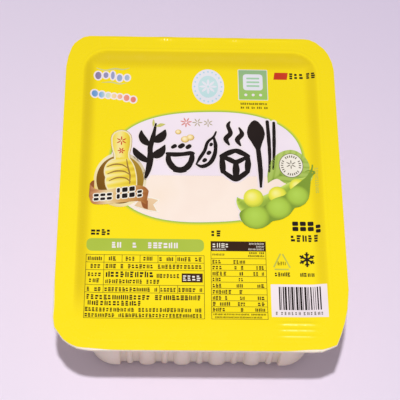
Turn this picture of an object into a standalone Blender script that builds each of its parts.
# A sealed retail pack of tofu: a thermoformed white tray, full, under a lidding film.
# Metres, +Z up, standing on z = 0 with the middle of its plan at the origin.
# Run with: blender --background --python part.py

from math import cos, pi, sin, sqrt

import bmesh
import bpy
from mathutils import Vector

MM = 0.001

# Driving dimensions of the pack
PACK_WIDTH = 130 * MM  # along X, over the flange
PACK_DEPTH = 167 * MM  # along Y, over the flange
PACK_HEIGHT = 44 * MM  # over the lidding film
FLANGE_THICKNESS = 1.2 * MM
FLANGE_EDGE_ROUND = 0.4 * MM
# Flange and film are cut out together, each corner a bit differently: its reach along X and Y
CORNER_CUTS = [
    (14.4 * MM, 20 * MM),  # back right
    (10.4 * MM, 19 * MM),  # back left
    (18.3 * MM, 15.2 * MM),  # front left
    (12.2 * MM, 33.9 * MM),  # front right
]

# Film
FILM_THICKNESS = 0.4 * MM
FILM_GAP = 0.3 * MM  # clear of the tray
FILM_MARGIN = 0.5 * MM  # how far the film stops short of the flange's edge
SEAL_WIDTH = 8.5 * MM  # flat, welded band
SAG_WIDTH = 8 * MM  # where the film slopes down inside the seal
SAG_DEPTH = 1.5 * MM
SAG_STEPS = 5
MOUTH_CORNER = (11 * MM, 13 * MM)  # of the tray's mouth, where the film leaves the seal
LEAST_CORNER = (5 * MM, 6 * MM)

# Tray wall
SIDE_INSET = 17.6 * MM  # flange edge to foot, at the left and right
END_INSET = 12.6 * MM  # flange edge to foot, at the front and back
SIDE_DRAFT = 6.8 * MM  # how far the side walls lean out from foot to flange
END_DRAFT = 3.6 * MM
FOOT_CORNER = 9.5 * MM
GROOVE_FOOT_ROUND = 3.5 * MM
BULGE_FOOT_ROUND = 5.5 * MM
WALL_FADE = 4 * MM  # the flutes die out over this height under the flange

# Flutes: broad bulges with a narrow ridge between each two
BULGE_HALF = 3.85 * MM
RIDGE_HALF = 1.55 * MM
GROOVE_WIDTH = 2.5 * MM
BULGE_RELIEF = 2.2 * MM  # how far it stands out of the grooves
RIDGE_RELIEF = 1.3 * MM
CORNER_RUN_IN = 0.6 * MM  # the corner bulge rises over this distance
CORNER_RUN_IN_RELIEF = 0.7 * BULGE_RELIEF
END_PITCH = 15.9 * MM
SIDE_PITCH = 15.6 * MM
END_RIDGES = 5
SIDE_RIDGES = 8

FLANGE_TOP = PACK_HEIGHT - FILM_THICKNESS - FILM_GAP
FLANGE_UNDER = FLANGE_TOP - FLANGE_THICKNESS
BULGE_ROUND_LEVELS = [0, 0.05, 0.18, 0.4, 0.7, 1]  # shares of the bulges' foot rounding
WALL_MIDDLE = 22 * MM
DISH_CLEARANCE = 0.02 * MM  # keeps the dish cutter's brim off the flange's own plane
OVERLAP = 0.5 * MM  # how far the wall runs up into the flange before they are joined
CORNER_STEPS = 8


def clear_scene():
    for obj in list(bpy.data.objects):
        bpy.data.objects.remove(obj)


def new_collection(name):
    collection = bpy.data.collections.new(name)
    bpy.context.scene.collection.children.link(collection)
    return collection


def plastic(name, colour, roughness):
    material = bpy.data.materials.new(name)
    material.use_nodes = True
    shader = material.node_tree.nodes["Principled BSDF"]
    shader.inputs["Base Color"].default_value = (*colour, 1)
    shader.inputs["Roughness"].default_value = roughness
    shader.inputs["Metallic"].default_value = 0
    return material


def loft(name, rings, collection, material, closed=True):
    """Skins equal-length rings, listed bottom to top and anticlockwise seen from above.
    The last ring always gets a cap; the first one too if the shape is closed."""
    bm = bmesh.new()
    loops = [[bm.verts.new(point) for point in ring] for ring in rings]
    count = len(rings[0])
    for low, high in zip(loops, loops[1:]):
        for i in range(count):
            j = (i + 1) % count
            bm.faces.new((low[i], low[j], high[j], high[i]))
    bm.faces.new(loops[-1])
    if closed:
        bm.faces.new(reversed(loops[0]))
    mesh = bpy.data.meshes.new(name)
    bm.to_mesh(mesh)
    bm.free()
    mesh.shade_smooth()
    mesh.set_sharp_from_angle(angle=pi / 5)
    mesh.materials.append(material)
    obj = bpy.data.objects.new(name, mesh)
    collection.objects.link(obj)
    return obj


def boolean(obj, other, operation):
    modifier = obj.modifiers.new(f"{operation.lower()} {other.name}", "BOOLEAN")
    modifier.operation = operation
    modifier.object = other
    other.hide_render = True
    other.display_type = "WIRE"


def rounded_ring(inset, z, corners):
    """The flange's rectangle drawn in by an inset, at one height, with four elliptical corners."""
    half_x = PACK_WIDTH / 2 - inset
    half_y = PACK_DEPTH / 2 - inset
    points = []
    signs = [(1, 1), (-1, 1), (-1, -1), (1, -1)]
    for quarter, ((sx, sy), (reach_x, reach_y)) in enumerate(zip(signs, corners)):
        centre = Vector((sx * (half_x - reach_x), sy * (half_y - reach_y), z))
        for step in range(CORNER_STEPS + 1):
            angle = (quarter + step / CORNER_STEPS) * pi / 2
            points.append(centre + Vector((reach_x * cos(angle), reach_y * sin(angle), 0)))
    return points


def flange_ring(inset, z):
    return rounded_ring(inset, z, [(x - inset, y - inset) for x, y in CORNER_CUTS])


def mouth_ring(inset, z):
    """A ring inside the seal, where all four corners are alike."""
    drawn_in = max(inset - SEAL_WIDTH, 0)
    corner = [max(full - drawn_in, least) for full, least in zip(MOUTH_CORNER, LEAST_CORNER)]
    return rounded_ring(inset, z, [corner] * 4)


def sag(inset):
    """How far the film hangs below the flange at this distance from the pack's edge."""
    t = min(max((inset - SEAL_WIDTH) / SAG_WIDTH, 0), 1)
    return SAG_DEPTH * t * t * (3 - 2 * t)


def slope_insets():
    return [SEAL_WIDTH + SAG_WIDTH * i / SAG_STEPS for i in range(SAG_STEPS + 1)]


def arch(u):
    """Stand-off across one flute, from 0 at its edges to 1 along its crest."""
    return sqrt(max(1 - abs(u) ** 2.5, 0))


def flutes_along(ridges, pitch):
    """(place along the wall, stand-off) over one straight wall, corner bulges left out."""
    first = -(ridges - 1) / 2 * pitch
    stations = []
    for i in range(ridges):
        ridge = first + i * pitch
        stations += [(ridge + u * RIDGE_HALF, RIDGE_RELIEF * arch(u)) for u in (-1, -0.55, 0.55, 1)]
        if i < ridges - 1:
            bulge = ridge + pitch / 2
            stations += [(bulge + u * BULGE_HALF, BULGE_RELIEF * arch(u))
                         for u in (-1, -0.85, -0.4, 0.4, 0.85, 1)]
    edge = first - RIDGE_HALF - GROOVE_WIDTH
    lead_in = [(edge, 0), (edge - CORNER_RUN_IN, CORNER_RUN_IN_RELIEF)]
    lead_out = [(-place, relief) for place, relief in lead_in]
    return lead_in[::-1] + stations + lead_out


def wall_levels():
    foot = [share * BULGE_FOOT_ROUND for share in BULGE_ROUND_LEVELS]
    fade = [FLANGE_UNDER - WALL_FADE, FLANGE_UNDER - WALL_FADE / 3]
    return foot + [WALL_MIDDLE] + fade + [FLANGE_UNDER + OVERLAP]


def wall_offset(z, relief):
    """How far the wall stands out of the groove line at this height."""
    fade = min(max((FLANGE_UNDER - z) / WALL_FADE, 0), 1)
    foot = GROOVE_FOOT_ROUND + (BULGE_FOOT_ROUND - GROOVE_FOOT_ROUND) * relief / BULGE_RELIEF
    lift = max(foot - z, 0)
    return relief * fade - (foot - sqrt(foot ** 2 - lift ** 2))


def wall_ring(z):
    """The tray's fluted outline at one height."""
    rise = z / FLANGE_UNDER
    half_x = PACK_WIDTH / 2 - SIDE_INSET + SIDE_DRAFT * rise
    half_y = PACK_DEPTH / 2 - END_INSET + END_DRAFT * rise
    corner = FOOT_CORNER + (SIDE_DRAFT + END_DRAFT) / 2 * rise
    walls = [
        (Vector((0, 1, 0)), Vector((1, 0, 0)), half_x, half_y - corner, SIDE_RIDGES, SIDE_PITCH),
        (Vector((-1, 0, 0)), Vector((0, 1, 0)), half_y, half_x - corner, END_RIDGES, END_PITCH),
        (Vector((0, -1, 0)), Vector((-1, 0, 0)), half_x, half_y - corner, SIDE_RIDGES, SIDE_PITCH),
        (Vector((1, 0, 0)), Vector((0, -1, 0)), half_y, half_x - corner, END_RIDGES, END_PITCH),
    ]
    up = Vector((0, 0, z))
    points = []
    for along, outward, distance, straight, ridges, pitch in walls:
        for place, relief in flutes_along(ridges, pitch):
            points.append(up + along * place + outward * (distance + wall_offset(z, relief)))
        centre = up + along * straight + outward * (distance - corner)
        reach = corner + wall_offset(z, BULGE_RELIEF)
        for step in range(CORNER_STEPS + 1):
            angle = step / CORNER_STEPS * pi / 2
            points.append(centre + reach * (cos(angle) * outward + sin(angle) * along))
    return points


def make_tray(collection, helpers, material):
    """One closed solid: fluted body, flange, and a shallow dish that the film hangs into."""
    body = loft("tray", [wall_ring(z) for z in wall_levels()], collection, material)
    flange = loft("flange_plate", [
        flange_ring(FLANGE_EDGE_ROUND, FLANGE_UNDER),
        flange_ring(0, FLANGE_UNDER + FLANGE_EDGE_ROUND),
        flange_ring(0, FLANGE_TOP - FLANGE_EDGE_ROUND),
        flange_ring(FLANGE_EDGE_ROUND, FLANGE_TOP),
    ], helpers, material)
    dish = [mouth_ring(inset, FLANGE_TOP - sag(inset)) for inset in slope_insets()[1:]][::-1]
    brim = SEAL_WIDTH - SAG_WIDTH / SAG_STEPS / 4
    dish.append(mouth_ring(brim, FLANGE_TOP + DISH_CLEARANCE))
    dish.append(mouth_ring(brim, FLANGE_TOP + OVERLAP))
    cutter = loft("film_dish", dish, helpers, material)
    boolean(body, flange, "UNION")
    boolean(body, cutter, "DIFFERENCE")
    return body


def make_film(collection, material):
    """The lidding film: flat on the seal, then hanging a little into the tray."""
    under = FLANGE_TOP + FILM_GAP
    rings = [flange_ring(FILM_MARGIN, under)]
    rings += [mouth_ring(inset, under - sag(inset)) for inset in slope_insets()]
    film = loft("lid_film", rings, collection, material, closed=False)
    thickness = film.modifiers.new("film thickness", "SOLIDIFY")
    thickness.thickness = FILM_THICKNESS
    thickness.offset = 1
    return film


clear_scene()
pack = new_collection("Tofu pack")
cutters = new_collection("Tofu pack helpers")
cutters.hide_render = True
white_tray = plastic("White polypropylene", (0.81, 0.77, 0.75), 0.4)
yellow_film = plastic("Yellow printed film", (0.98, 0.76, 0.06), 0.3)
make_tray(pack, cutters, white_tray)
make_film(pack, yellow_film)
